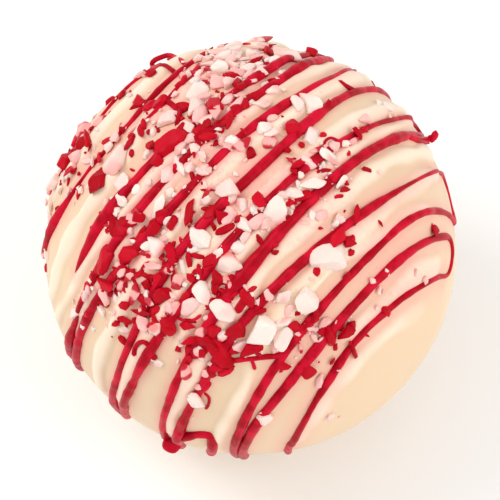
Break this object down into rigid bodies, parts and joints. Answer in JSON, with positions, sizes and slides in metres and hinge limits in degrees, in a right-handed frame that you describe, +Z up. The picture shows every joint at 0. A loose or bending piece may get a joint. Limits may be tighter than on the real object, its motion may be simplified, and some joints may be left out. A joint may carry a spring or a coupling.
{
  "type": "hot chocolate sphere",
  "caption": "White chocolate sphere for hot chocolate, with red and white drizzle over its top and crushed peppermint stuck to it, resting on a small flat spot.",
  "frame": {"origin": "middle of the small flat spot that the sphere rests on", "axes": "+Z up through the middle of the sphere; -Y towards the viewer of the reference picture, +X to that viewer's right"},
  "size_m": [0.0645, 0.065, 0.0639],
  "materials": {
    "white_chocolate": "waxy, soft sheen",
    "red_drizzle": "glossy set coating",
    "white_peppermint": "crushed hard sugar, slightly see-through",
    "pink_peppermint": "crushed hard sugar, slightly see-through",
    "red_peppermint": "crushed hard sugar, glossy"
  },
  "bodies": {
    "root": {"chocolate_sphere": "white_chocolate"}
  },
  "joints": []
}
